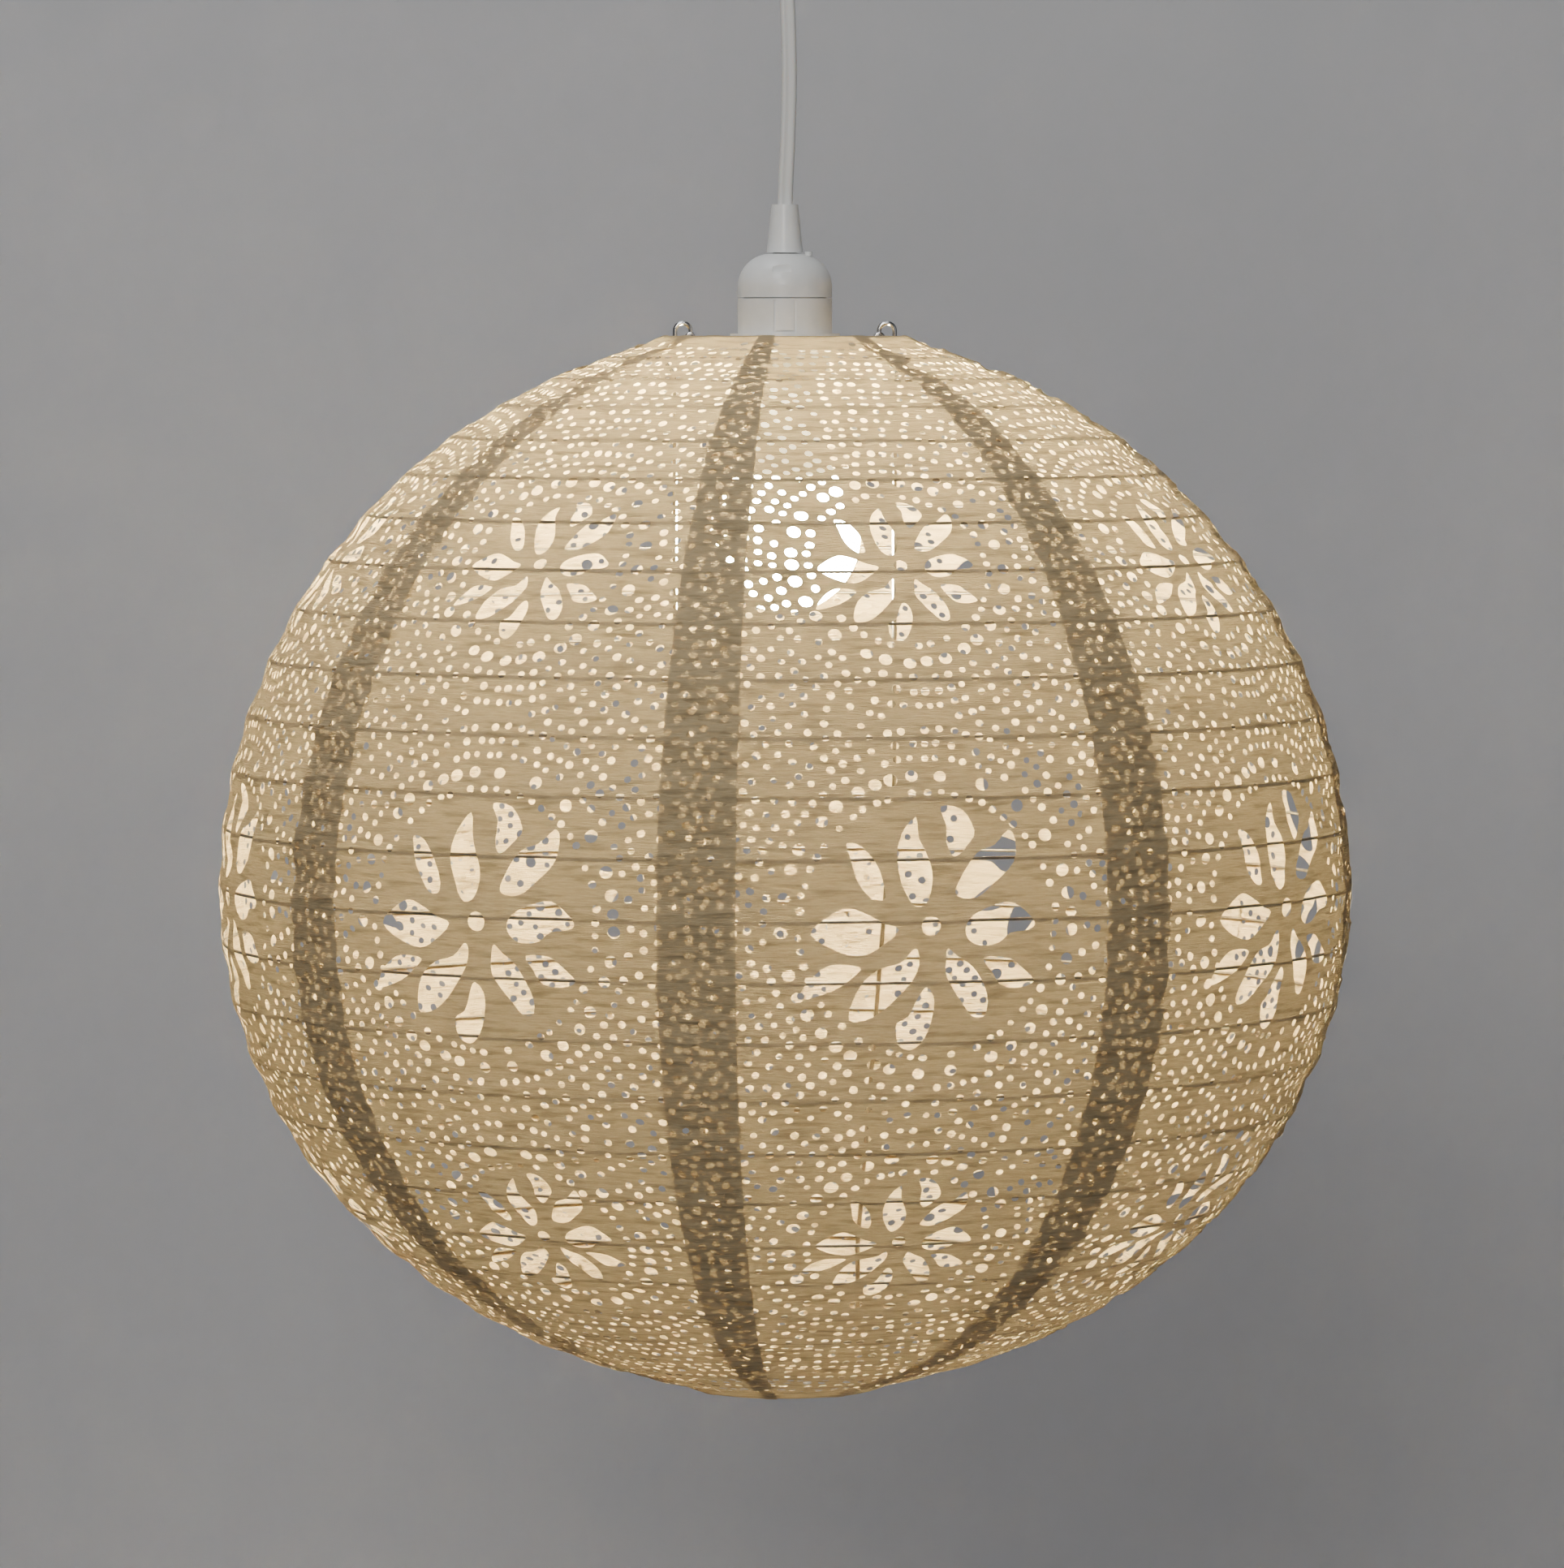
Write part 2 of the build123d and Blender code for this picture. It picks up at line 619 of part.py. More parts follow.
def meridian(inset, top_r, bottom_r):
    """The cover's outline from bottom to top, this far inside the outer one."""
    r = cover_r - inset
    down = degrees(acos(bottom_r / r))
    up = degrees(acos(top_r / r))
    lower = EllipticalCenterArc((0, widest_z), r, lower_axis - inset, -down, arc_size=down)
    upper = EllipticalCenterArc((0, widest_z), r, upper_axis - inset, 0, arc_size=up)
    return lower, upper


# Hoops lie inside the paper, evenly spaced along the outline between the two rings.
with BuildLine() as hoop_line:
    meridian(cover_t + seat_gap + hoop_wire_r, top_ring_r, bottom_ring_r)
hoop_wire = hoop_line.wires()[0]
for index in range(1, hoop_count + 1):
    place = hoop_wire @ (1 - index / (hoop_count + 1))
    ring(place.X, hoop_wire_r, place.Y, "hoop_%02d" % index)

# Gores: eight equal strips of paper, each from ring to ring, glued edge over edge.
gore_angle = 360 / gore_count
edge_gap = ring_wire_r + seat_gap
for index in range(gore_count):
    start = radians(first_gore_deg + (index - 0.5) * gore_angle)
    strip = Plane(origin=(0, 0, 0), x_dir=(cos(start), sin(start), 0), z_dir=(sin(start), -cos(start), 0))
    with BuildPart() as gore:
        with BuildSketch(strip):
            with BuildLine():
                outer = meridian(0, top_ring_r + edge_gap, bottom_ring_r + edge_gap)
                inner = meridian(cover_t, top_ring_r + edge_gap, bottom_ring_r + edge_gap)
                Line(outer[0] @ 0, inner[0] @ 0)
                Line(outer[1] @ 1, inner[1] @ 1)
            make_face()
        revolve(axis=Axis.Z, revolution_arc=gore_angle)
    finish(gore, "gore_%d" % (index + 1))

print("cover", round(2 * cover_r), "x", round(cover_rise + cover_drop, 1), "outline", round(hoop_wire.length, 1))
print("levels", "ball", round(ball_z, 2), "grip", round(grip_top_z, 2), "flange", round(flange_low_z, 2),
      "top ring", round(top_ring_z, 2), "widest", round(widest_z, 2), "bottom ring", round(bottom_ring_z, 2),
      "lamp", round(bulb_low_z, 2), round(ball_centre_z, 2), "pivot", round(pivot_z, 2))
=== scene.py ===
"""Pierced cotton-paper globe pendant, lit from inside, on a short white flex from a ceiling cup."""

import math
import random

import bpy
import numpy as np
from mathutils import Matrix, Vector, geometry, kdtree, noise


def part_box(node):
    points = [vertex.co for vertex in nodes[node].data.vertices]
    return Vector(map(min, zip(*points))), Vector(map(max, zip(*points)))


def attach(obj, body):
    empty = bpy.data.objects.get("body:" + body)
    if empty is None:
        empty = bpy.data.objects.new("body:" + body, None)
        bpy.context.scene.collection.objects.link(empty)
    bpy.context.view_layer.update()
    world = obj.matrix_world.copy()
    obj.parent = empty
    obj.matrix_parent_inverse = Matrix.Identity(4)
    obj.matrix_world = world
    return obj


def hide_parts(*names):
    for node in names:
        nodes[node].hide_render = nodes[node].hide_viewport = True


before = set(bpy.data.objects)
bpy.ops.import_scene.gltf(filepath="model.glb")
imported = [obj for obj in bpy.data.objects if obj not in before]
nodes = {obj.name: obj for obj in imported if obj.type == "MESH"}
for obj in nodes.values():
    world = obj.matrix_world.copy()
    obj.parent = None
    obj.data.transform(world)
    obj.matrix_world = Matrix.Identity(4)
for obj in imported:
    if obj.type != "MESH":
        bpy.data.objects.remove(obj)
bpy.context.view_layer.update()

# ------------------------------------------------------------------ ceiling bracket, clamp and terminals
# Zinc-plated steel strap with a folded tab; its two round-head screws press a plastic bar on the flex.
# The milky terminal block hangs beside the tab. All of it is out of sight once the cup is up.


def finish_of(
    names, title, dark, light, rough,
    metal=0.0, grain=90.0, bump=0.15, coat=0.0, stretch=(1, 1, 1),
):
    """Gives these CAD nodes one finish: two close tones, uneven gloss and a fine relief."""
    finish = bpy.data.materials.new(title)
    finish.use_nodes = True
    tree = finish.node_tree
    shader = tree.nodes["Principled BSDF"]
    shader.inputs["Metallic"].default_value = metal
    shader.inputs["Coat Weight"].default_value = coat
    place = tree.nodes.new("ShaderNodeTexCoord")
    scale = tree.nodes.new("ShaderNodeMapping")
    scale.inputs["Scale"].default_value = stretch
    tree.links.new(place.outputs["Object"], scale.inputs["Vector"])
    clouds = tree.nodes.new("ShaderNodeTexNoise")
    clouds.inputs["Scale"].default_value = grain
    clouds.inputs["Detail"].default_value = 5.0
    tree.links.new(scale.outputs["Vector"], clouds.inputs["Vector"])
    tones = tree.nodes.new("ShaderNodeValToRGB")
    tones.color_ramp.elements[0].position = 0.35
    tones.color_ramp.elements[0].color = (*dark, 1)
    tones.color_ramp.elements[1].position = 0.65
    tones.color_ramp.elements[1].color = (*light, 1)
    tree.links.new(clouds.outputs["Fac"], tones.inputs["Fac"])
    tree.links.new(tones.outputs["Color"], shader.inputs["Base Color"])
    gloss = tree.nodes.new("ShaderNodeMapRange")
    gloss.inputs["To Min"].default_value = rough * 0.8
    gloss.inputs["To Max"].default_value = min(1.0, rough * 1.25)
    tree.links.new(clouds.outputs["Fac"], gloss.inputs["Value"])
    tree.links.new(gloss.outputs["Result"], shader.inputs["Roughness"])
    fine = tree.nodes.new("ShaderNodeTexNoise")
    fine.inputs["Scale"].default_value = grain * 12
    tree.links.new(scale.outputs["Vector"], fine.inputs["Vector"])
    relief = tree.nodes.new("ShaderNodeBump")
    relief.inputs["Strength"].default_value = bump
    relief.inputs["Distance"].default_value = 0.0001
    tree.links.new(fine.outputs["Fac"], relief.inputs["Height"])
    tree.links.new(relief.outputs["Normal"], shader.inputs["Normal"])
    for name in names:
        nodes[name].data.materials.clear()
        nodes[name].data.materials.append(finish)
    return finish


finish_of(
    ["ceiling_bracket", "clamp_screws"], "zinc plate",
    (0.40, 0.41, 0.42), (0.58, 0.59, 0.58), 0.34, metal=1.0, grain=140,
)
finish_of(
    ["clamp_bar", "gland_screw"], "natural nylon",
    (0.66, 0.65, 0.60), (0.74, 0.73, 0.68), 0.5, grain=60,
)
finish_of(["terminal_block"], "milky plastic", (0.62, 0.64, 0.62), (0.74, 0.76, 0.74), 0.38, grain=50)

# ------------------------------------------------------------------ ceiling cup and gland
# Glossy white mouldings. The gland's neck comes through the cup's floor into the nut, and the grey
# rubber ball in its mouth lets the flex swing.
finish_of(
    ["ceiling_cup", "cord_gland", "gland_nut"], "white moulding",
    (0.78, 0.78, 0.76), (0.84, 0.84, 0.82), 0.32, grain=40, coat=0.15,
)
finish_of(["cord_bush"], "grey rubber", (0.10, 0.10, 0.10), (0.15, 0.15, 0.15), 0.75, grain=120, bump=0.4)

# ------------------------------------------------------------------ flex
# White two-core flex: two round cores side by side in one soft sheath, with a groove between them on
# each face. It hangs from the ball in a lazy bow and goes into the holder's grip.
sheath = bpy.data.materials.new("white sheath")
sheath.use_nodes = True
skin = sheath.node_tree.nodes["Principled BSDF"]
skin.inputs["Base Color"].default_value = (0.74, 0.74, 0.72, 1)
skin.inputs["Roughness"].default_value = 0.3
skin.inputs["Subsurface Weight"].default_value = 0.1
skin.inputs["Subsurface Scale"].default_value = 0.002
ripple = sheath.node_tree.nodes.new("ShaderNodeTexNoise")
ripple.inputs["Scale"].default_value = 260.0
swell = sheath.node_tree.nodes.new("ShaderNodeBump")
swell.inputs["Strength"].default_value = 0.25
swell.inputs["Distance"].default_value = 0.0002
sheath.node_tree.links.new(ripple.outputs["Fac"], swell.inputs["Height"])
sheath.node_tree.links.new(swell.outputs["Normal"], skin.inputs["Normal"])

core_r = 0.0016
core_middle = 0.0016
core_arc, core_steps = 260, 12
section = []
for side in (1, -1):
    for step in range(core_steps + 1):
        turn = math.radians(-core_arc / 2 + core_arc * step / core_steps)
        x = side * (core_middle + core_r * math.cos(turn))
        section.append((x, side * core_r * math.sin(turn)))


def flex_tube(title, points):
    """A tube of the flex's section along a vertical run of points, its flat side facing front."""
    mesh = bpy.data.meshes.new(title)
    rows, count = [], len(section)
    for i, here in enumerate(points):
        along = (points[min(i + 1, len(points) - 1)] - points[max(i - 1, 0)]).normalized()
        wide = (Vector((1, 0, 0)) - along * along.x).normalized()
        deep = along.cross(wide)
        rows += [here + wide * x + deep * y for x, y in section]
    skins = []
    for i in range(len(points) - 1):
        for j in range(count):
            k = (j + 1) % count
            skins.append((i * count + j, i * count + k, (i + 1) * count + k, (i + 1) * count + j))
    skins += [tuple(range(count))[::-1], tuple(range((len(points) - 1) * count, len(points) * count))]
    mesh.from_pydata(rows, [], skins)
    mesh.update()
    tube = bpy.data.objects.new(title, mesh)
    bpy.context.collection.objects.link(tube)
    tube.data.materials.append(sheath)
    for face in mesh.polygons:
        face.use_smooth = len(face.vertices) == 4
    return tube


tail_foot, tail_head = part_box("cord_tail")[0][2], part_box("cord_tail")[1][2]
tail_steps = 12
tail_run = []
for i in range(tail_steps + 1):
    tail_run.append(Vector((0, 0, tail_foot + (tail_head - tail_foot) * i / tail_steps)))
flex_tail = flex_tube("flex_tail", tail_run)
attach(flex_tail, "ceiling_fitting")
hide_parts("cord_tail")

cord_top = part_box("cord")[1][2]
route = [
    (0.0, 0.0, -0.203),
    (0.0, 0.0, -0.183),
    (0.0011, 0.0, -0.163),
    (0.0020, 0.0, -0.134),
    (0.0014, 0.0, -0.106),
    (0.0, 0.0, -0.085),
    (0.0, 0.0, cord_top),
]
line = bpy.data.curves.new("flex_line", "CURVE")
line.dimensions = "3D"
line.resolution_u = 12
run = line.splines.new("NURBS")
run.points.add(len(route) - 1)
for point, place in zip(run.points, route):
    point.co = (*place, 1)
run.order_u = 3
run.use_endpoint_u = True
line_object = bpy.data.objects.new("flex_line", line)
bpy.context.collection.objects.link(line_object)
traced = bpy.data.meshes.new_from_object(line_object)
flex_run = [v.co.copy() for v in traced.vertices]
bpy.data.objects.remove(line_object)
flex = flex_tube("flex", flex_run)
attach(flex, "pendant")
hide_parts("cord")

# ------------------------------------------------------------------ lamp holder
# Grip, domed cap and skirt are white mouldings, a little grey from handling. Inside are the unglazed
# ceramic core, the rolled brass shell and the contact. The ring that screws up the nose is white plastic
# coloured cream, as painted warm light from the lamp.
finish_of(
    ["cord_grip", "holder_cap", "holder_skirt"], "holder moulding",
    (0.80, 0.81, 0.80), (0.87, 0.88, 0.87), 0.36, grain=70, bump=0.2, coat=0.1,
)
finish_of(
    ["socket_core"], "unglazed ceramic",
    (0.72, 0.71, 0.66), (0.80, 0.79, 0.75), 0.7, grain=80, bump=0.5,
)
finish_of(
    ["thread_shell", "centre_contact"], "rolled brass",
    (0.62, 0.42, 0.14), (0.78, 0.57, 0.24), 0.28, metal=1.0, grain=120, stretch=(1, 1, 6),
)
# The shade ring's cream tone is painted warm light from the lamp on white plastic.
finish_of(["shade_ring"], "white moulding in painted lamplight", (0.72, 0.66, 0.52), (0.78, 0.73, 0.60), 0.42, grain=60)

# ------------------------------------------------------------------ lamp
# An opal globe lamp, alight below its neck. Its cap is rolled aluminium, with black glass and a solder
# tip on top.
finish_of(
    ["bulb_cap", "bulb_tip"], "rolled aluminium",
    (0.60, 0.60, 0.59), (0.74, 0.74, 0.73), 0.3, metal=1.0, grain=120, stretch=(1, 1, 8),
)
finish_of(["bulb_insulator"], "black glass", (0.012, 0.012, 0.012), (0.02, 0.02, 0.02), 0.12, grain=60)
glow = finish_of(
    ["bulb_glass"], "opal glass alight",
    (0.86, 0.82, 0.72), (0.92, 0.88, 0.80), 0.25, grain=30, bump=0.05,
)
neck_z, lit_z = -0.300, -0.312
neck_glow, lit_glow = 2.0, 700.0
glow_shader = glow.node_tree.nodes["Principled BSDF"]
glow_shader.inputs["Emission Color"].default_value = (1.0, 0.87, 0.55, 1)
height = glow.node_tree.nodes.new("ShaderNodeSeparateXYZ")
lit_part = glow.node_tree.nodes.new("ShaderNodeMapRange")
lit_part.inputs["From Min"].default_value = neck_z
lit_part.inputs["From Max"].default_value = lit_z
lit_part.inputs["To Min"].default_value = neck_glow
lit_part.inputs["To Max"].default_value = lit_glow
in_object = glow.node_tree.nodes["Texture Coordinate"].outputs["Object"]
glow.node_tree.links.new(in_object, height.inputs["Vector"])
glow.node_tree.links.new(height.outputs["Z"], lit_part.inputs["Value"])
glow.node_tree.links.new(lit_part.outputs["Result"], glow_shader.inputs["Emission Strength"])

# ------------------------------------------------------------------ wire expander, rings and hoops
# Bright drawn wire: the expander's ring and arms, its two hooked legs, and the cover's end rings. The
# hoops inside the paper are thinner wire, dull from glue.
finish_of(
    ["expander_frame", "leg_left", "leg_right"], "bright wire",
    (0.50, 0.50, 0.50), (0.66, 0.66, 0.67), 0.2, metal=1.0, grain=200, bump=0.2,
)
finish_of(
    ["top_ring", "bottom_ring"], "ring wire",
    (0.46, 0.46, 0.46), (0.62, 0.62, 0.62), 0.26, metal=1.0, grain=200, bump=0.2,
)
hoop_count = 25
hoops = ["hoop_%02d" % i for i in range(1, hoop_count + 1)]
finish_of(
    hoops, "hoop wire",
    (0.20, 0.17, 0.13), (0.34, 0.29, 0.22), 0.5, metal=0.8, grain=150, bump=0.3,
)

# ------------------------------------------------------------------ paper gores
# Eight strips of hand-made cotton paper, pierced flat with one stencil, then bent round the hoops and
# glued edge over edge. The paper is drawn in a little between the hoops and crinkles where it is double.


def between(p, q, r, s, t):
    """The value a share t of the way from q to r, on a smooth line that also meets p and s."""
    bend = (2 * p - 5 * q + 4 * r - s) * t * t
    return 0.5 * (2 * q + (r - p) * t + bend + (3 * q - p - 3 * r + s) * t**3)


def smooth_loop(corners, cuts):
    """A closed line through these corners, rounded."""
    loop = []
    for i, b in enumerate(corners):
        a, c = corners[i - 1], corners[(i + 1) % len(corners)]
        d = corners[(i + 2) % len(corners)]
        for step in range(cuts):
            loop.append(tuple(between(*four, step / cuts) for four in zip(a, b, c, d)))
    return loop


# The petals of the large flower, in millimetres from its middle, clockwise from the upper left.
petals = [
    [(-33.5, 33.3), (-27.7, 32), (-21.1, 23.5), (-18.5, 11.7), (-23.8, 11.1), (-29.6, 18.3),
     (-32.2, 27.4)],
    [(-5.2, 43.7), (-4.2, 35.2), (-0.9, 27.4), (1, 19.6), (-0.9, 10.4), (-6.1, 7.8), (-10.7, 14.4),
     (-13.6, 26.1), (-11.4, 36.6)],
    [(5.2, 47.7), (14.1, 46.3), (19.1, 37.9), (16.1, 32.6), (10.2, 27.4), (7.3, 32.6), (7.3, 40.5)],
    [(33.7, 37.9), (36.3, 33.9), (35, 24.8), (27.2, 17), (19.3, 11.1), (11.5, 11.7), (11.5, 17),
     (19.3, 28.7), (27.2, 32)],
    [(14.4, 0), (19.3, 5.2), (31.1, 9.1), (37.6, 7.2), (44.1, 0.7), (41.5, -2.3), (33.7, -3.3),
     (28.5, -7.2), (20.6, -8.1), (15.4, -5.2)],
    [(22.2, -13.1), (32.4, -13.3), (38.3, -17), (44.1, -22.8), (37.6, -25.5), (29.8, -24.2),
     (25.8, -18.9)],
    [(7.3, -9.1), (11.5, -12.4), (18, -17), (23.9, -27.4), (23.9, -36.6), (18.7, -37.2),
     (12.8, -30), (6.9, -20.9), (6.3, -14.4)],
    [(-1.6, -24.5), (1.7, -28.7), (1.7, -36.6), (-1.6, -45.7), (-6.8, -50.3), (-12, -47.7),
     (-13.1, -39.8), (-8.1, -36.6), (-4.8, -28.7)],
    [(-6.8, -9.1), (-4.8, -11.1), (-5.5, -18.3), (-13.3, -28.7), (-22.5, -36.6), (-30.9, -38.5),
     (-32.2, -33.9), (-28.3, -23.5), (-21.1, -17), (-12, -14.4)],
    [(-28.3, -16.3), (-31.6, -20.2), (-39.4, -25.5), (-51.8, -29.4), (-52.7, -27.4), (-48.6, -20.9),
     (-42, -15.9), (-34.2, -15)],
    [(-13.1, -1.3), (-21.1, -8.5), (-29, -11.7), (-39.4, -9.1), (-48.6, -2.6), (-42, 3.9),
     (-34.2, 7.6), (-26.4, 5.2), (-19.8, 1.6)],
]

# The outline the paper follows, from the top ring over all the hoops to the bottom ring: at each wire
# its radius, its height and the wire's own radius.
skin_gap = 0.00035
hoop_steps = 12
stations = []
for name in ["top_ring"] + hoops + ["bottom_ring"]:
    low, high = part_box(name)
    wire = (high[2] - low[2]) / 2
    stations.append((high[0] - wire, (low[2] + high[2]) / 2, wire))
outline, hoops_passed = [], []
for i in range(len(stations) - 1):
    a, b = stations[max(i - 1, 0)], stations[i]
    c, d = stations[i + 1], stations[min(i + 2, len(stations) - 1)]
    for step in range(hoop_steps):
        t = step / hoop_steps
        outline.append([between(*four, t) for four in zip(a, b, c, d)])
        hoops_passed.append(i + t)
outline.append(list(stations[-1]))
hoops_passed.append(len(stations) - 1)
outline = np.array(outline)
hoops_passed = np.array(hoops_passed)
ahead = np.gradient(outline[:, :2], axis=0)
ahead /= np.linalg.norm(ahead, axis=1)[:, None]
outward = np.stack([-ahead[:, 1], ahead[:, 0]], axis=1)
paper_line = outline[:, :2] + outward * (outline[:, 2:] + skin_gap)
lengths = np.concatenate([[0], np.cumsum(np.linalg.norm(np.diff(paper_line, axis=0), axis=1))])
paper_length = lengths[-1]
hem = 0.0042
hem_r = stations[0][2] + skin_gap
half_span = math.radians(26.3)
widest_at = lengths[int(np.argmax(paper_line[:, 0]))]


def on_outline(v):
    """Radius, height and outward direction of the paper at v along it, with the hem round each ring."""
    if 0 <= v <= paper_length:
        r = float(np.interp(v, lengths, paper_line[:, 0]))
        z = float(np.interp(v, lengths, paper_line[:, 1]))
        nr = float(np.interp(v, lengths, outward[:, 0]))
        nz = float(np.interp(v, lengths, outward[:, 1]))
        return r, z, nr, nz
    end = 0 if v < 0 else -1
    over = -v if v < 0 else paper_length - v
    start = math.atan2(outward[end, 1], outward[end, 0])
    turn = start + over / hem_r
    ring_r, ring_z, wire = stations[end]
    return ring_r + hem_r * math.cos(turn), ring_z + hem_r * math.sin(turn), math.cos(turn), math.sin(turn)


def half_width(v):
    """Half the width of the flat strip at v."""
    return on_outline(min(max(v, 0), paper_length))[0] * half_span


# The stencil: three flowers, each in a bare round field with a ring of small dots, a ring of large
# ones, and rows of small dots that follow the flower out to the strip's edges.
random.seed(7)
upper_rise, lower_drop = 0.1525, 0.1435
small_scale = 0.70
petal_cuts = 3
eye_r, eye_sides = 0.004, 12
flowers = [
    (0.0, widest_at - upper_rise, small_scale),
    (0.0, widest_at, 1.0),
    (0.0, widest_at + lower_drop, small_scale),
]
holes, dots = [], []
for cu, cv, scale in flowers:
    for petal in petals:
        loop = smooth_loop(petal, petal_cuts)
        holes.append([(cu + x * scale / 1000, cv - y * scale / 1000) for x, y in loop])
    eye = []
    for k in range(eye_sides):
        turn = math.tau * k / eye_sides
        eye.append((cu + eye_r * scale * math.cos(turn), cv - eye_r * scale * math.sin(turn)))
    holes.append(eye)

# A dot may slip along its row by a share of the pitch and stray a little off it. It is left out where
# it would come within dot_gap of another; a grid of square cells finds its neighbours.
field_r = 0.0535
row_count, row_pitch = 60, 0.0059
before_big, after_big = 0.0012, 0.0010
dot_pitch, big_pitch = 0.0056, 0.0086
small_dot, big_dot = (0.00135, 0.00185), (0.0024, 0.0028)
slip, stray = 0.25, 0.0005
dot_gap = 0.0013
cell = 0.008
end_margin, side_share = 0.008, 0.93
taken = {}


def room_for(u, v, r):
    """True where a dot of this radius keeps clear of the other dots."""
    key = (int(u // cell), int(v // cell))
    for a in (-1, 0, 1):
        for b in (-1, 0, 1):
            for x, y, s in taken.get((key[0] + a, key[1] + b), ()):
                if math.hypot(x - u, y - v) < r + s + dot_gap:
                    return False
    taken.setdefault(key, []).append((u, v, r))
    return True


for row in range(row_count):
    for number, (cu, cv, scale) in enumerate(flowers):
        big = row == 1
        away = field_r * scale + row_pitch * row
        away += before_big if row >= 1 else 0
        away += after_big if row >= 2 else 0
        pitch = big_pitch if big else dot_pitch
        count = max(6, round(math.tau * away / pitch))
        for k in range(count):
            turn = math.tau * (k + 0.5 * (row % 2)) / count
            turn += random.uniform(-slip, slip) * pitch / away
            reach = away + random.uniform(-stray, stray)
            u, v = cu + reach * math.cos(turn), cv + reach * math.sin(turn)
            if v < end_margin or v > paper_length - end_margin:
                continue
            if abs(u) > half_width(v) * side_share:
                continue
            margins = [math.hypot(u - a, v - b) - field_r * s for a, b, s in flowers]
            if min(margins) < margins[number] - 1e-6:
                continue
            r = random.uniform(*big_dot) if big else random.uniform(*small_dot)
            if room_for(u, v, r):
                dots.append((u, v, r))
for u, v, r in dots:
    sides = 12 if r > small_dot[1] else 8
    lean = random.uniform(0, 1)
    long, short = r * random.uniform(0.97, 1.08), r * random.uniform(0.9, 1.0)
    turns = [lean + math.tau * k / sides for k in range(sides)]
    holes.append([(u + long * math.cos(turn), v + short * math.sin(turn)) for turn in turns])

# The flat strip as a mesh: its edge, the holes, and free points between them so that it can bend.
side_steps, end_steps = 150, 20
rim = [-hem + (paper_length + 2 * hem) * i / side_steps for i in range(side_steps + 1)]
border = [(half_width(v), v) for v in rim]
border += [(half_width(rim[-1]) * (1 - 2 * k / end_steps), rim[-1]) for k in range(1, end_steps)]
border += [(-half_width(v), v) for v in reversed(rim)]
border += [(half_width(rim[0]) * (2 * k / end_steps - 1), rim[0]) for k in range(1, end_steps)]
points = list(border)
loops = [list(range(len(border)))]
for hole in holes:
    turned = sum(a[0] * b[1] - b[0] * a[1] for a, b in zip(hole, hole[1:] + hole[:1]))
    hole = hole if turned > 0 else hole[::-1]
    loops.append(list(range(len(points), len(points) + len(hole))))
    points += hole
near = kdtree.KDTree(len(points))
for i, (u, v) in enumerate(points):
    near.insert((u, v, 0), i)
near.balance()
hem_zone, fine_share = 0.004, 0.70
first_in, last_in = 0.001, 0.0008
fine_clear, plain_clear = 0.0011, 0.0017
fine_step, plain_step = 0.0030, 0.0040
hem_step, row_step = 0.0008, 0.0026
v = -hem + first_in
while v < paper_length + hem:
    at_hem = v < hem_zone or v > paper_length - hem_zone
    span = half_width(v)
    u = -span + first_in
    while u < span - last_in:
        in_band = abs(u) > span * fine_share
        if near.find((u, v, 0))[2] > (fine_clear if in_band or at_hem else plain_clear):
            points.append((u, v))
        u += fine_step if in_band else plain_step
    v += hem_step if at_hem else row_step
flat = geometry.delaunay_2d_cdt([Vector(p) for p in points], [], loops, 1, 1e-7)
flat_points, flat_faces, face_owner = flat[0], flat[2], flat[5]
paper_faces = [tuple(f) for f, owner in zip(flat_faces, face_owner) if list(owner) == [0]]
used = sorted({i for f in paper_faces for i in f})
renumber = {old: new for new, old in enumerate(used)}
flat_points = [flat_points[i] for i in used]
paper_faces = [tuple(renumber[i] for i in f) for f in paper_faces]

paper = bpy.data.materials.new("cotton paper")
paper.use_nodes = True
tree = paper.node_tree
front = tree.nodes["Principled BSDF"]
front.inputs["Roughness"].default_value = 0.85
front.inputs["Specular IOR Level"].default_value = 0.15
spot = tree.nodes.new("ShaderNodeUVMap")
spot.uv_map = "OFBake"
long_way = tree.nodes.new("ShaderNodeMapping")
long_way.inputs["Scale"].default_value = (30, 260, 1)
tree.links.new(spot.outputs["UV"], long_way.inputs["Vector"])
fibres = tree.nodes.new("ShaderNodeTexNoise")
fibres.inputs["Scale"].default_value = 3.0
fibres.inputs["Detail"].default_value = 8.0
fibres.inputs["Roughness"].default_value = 0.7
tree.links.new(long_way.outputs["Vector"], fibres.inputs["Vector"])
tone = tree.nodes.new("ShaderNodeValToRGB")
tone.color_ramp.elements[0].position = 0.3
tone.color_ramp.elements[0].color = (0.46, 0.34, 0.185, 1)
tone.color_ramp.elements[1].position = 0.7
tone.color_ramp.elements[1].color = (0.64, 0.51, 0.30, 1)
tree.links.new(fibres.outputs["Fac"], tone.inputs["Fac"])
# Streaks across the strip darken the paper's colour as painted shade in its wrinkles; the same streaks
# also deepen the crinkle relief.
streak_way = tree.nodes.new("ShaderNodeMapping")
streak_way.inputs["Scale"].default_value = (18, 150, 1)
tree.links.new(spot.outputs["UV"], streak_way.inputs["Vector"])
streaks = tree.nodes.new("ShaderNodeTexNoise")
streaks.inputs["Scale"].default_value = 1.5
streaks.inputs["Detail"].default_value = 4.0
tree.links.new(streak_way.outputs["Vector"], streaks.inputs["Vector"])
wrinkle_shade_and_relief = tree.nodes.new("ShaderNodeMapRange")
wrinkle_shade_and_relief.inputs["From Min"].default_value = 0.32
wrinkle_shade_and_relief.inputs["From Max"].default_value = 0.50
wrinkle_shade_and_relief.inputs["To Min"].default_value = 0.58
